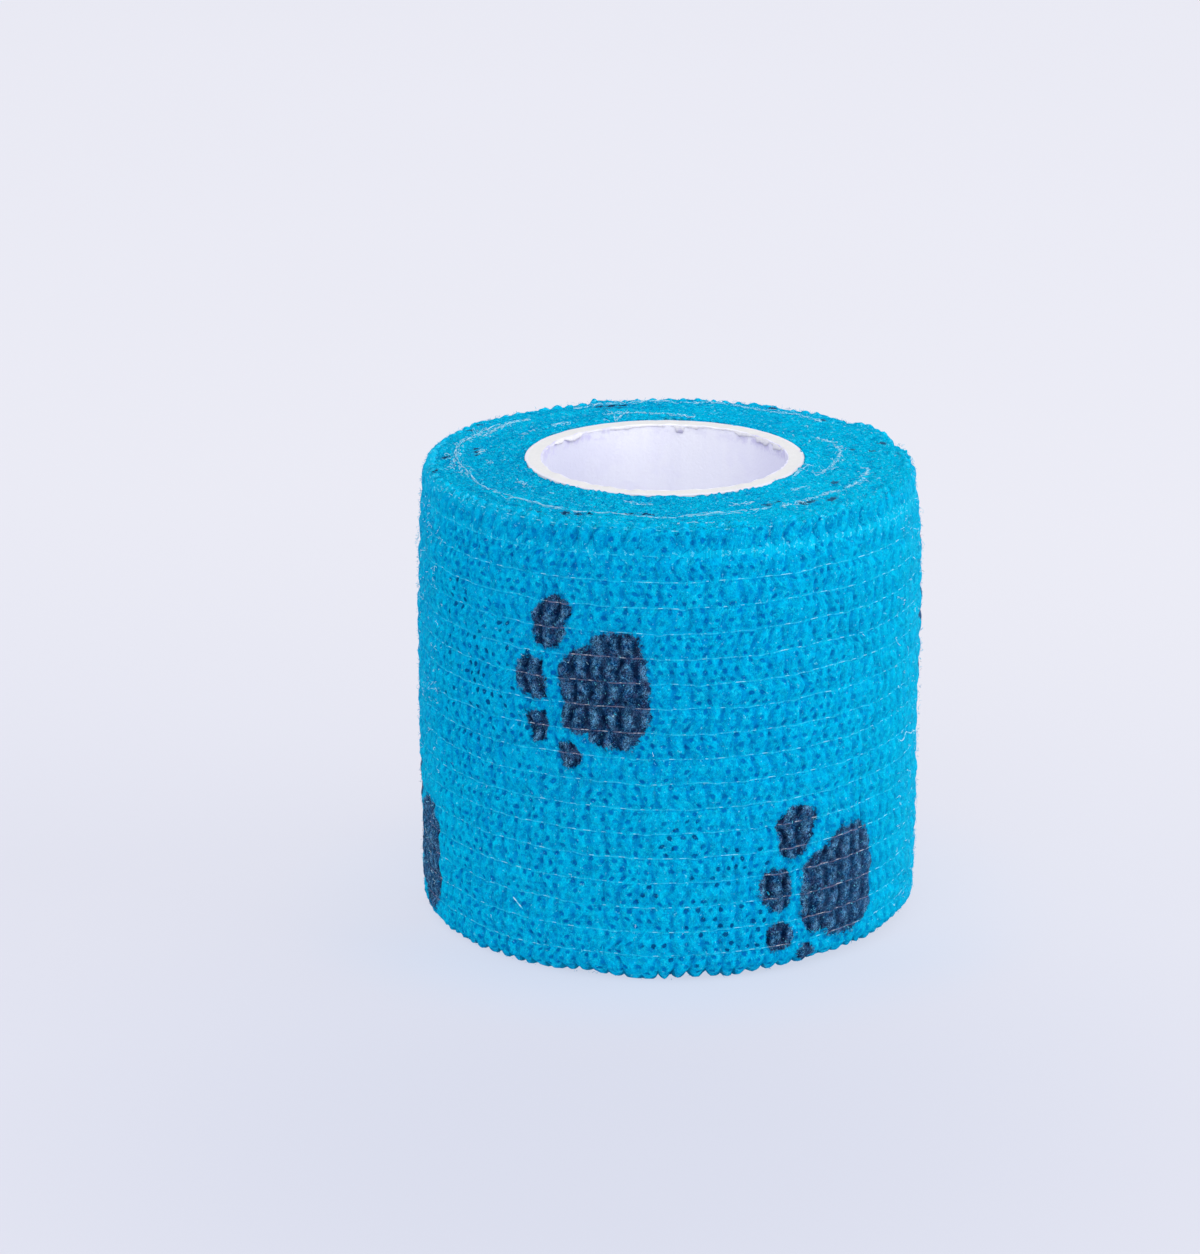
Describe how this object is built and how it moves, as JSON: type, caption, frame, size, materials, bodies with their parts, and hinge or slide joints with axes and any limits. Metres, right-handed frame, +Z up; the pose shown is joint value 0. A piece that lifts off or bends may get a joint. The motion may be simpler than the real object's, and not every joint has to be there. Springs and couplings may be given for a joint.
{
  "type": "cohesive bandage roll",
  "caption": "Roll of elastic crinkled cohesive bandage cloth with a paw-print pattern, wound on a short white cardboard tube and standing on its end.",
  "frame": {"origin": "centre of the roll's lower end, on the surface that the roll stands on", "axes": "+Z up along the axis of the roll and its tube; -Y towards the viewer of the picture, +X to the viewer's right"},
  "size_m": [0.0549, 0.0544, 0.0503],
  "materials": {
    "band_cloth": "matt bright blue creped nonwoven cloth with pale elastic threads and dark blue paw prints",
    "core_board": "matt white wound cardboard with a torn paper lip inside"
  },
  "bodies": {
    "root": {"bandage_roll": "band_cloth", "core_tube": "core_board"}
  },
  "joints": []
}
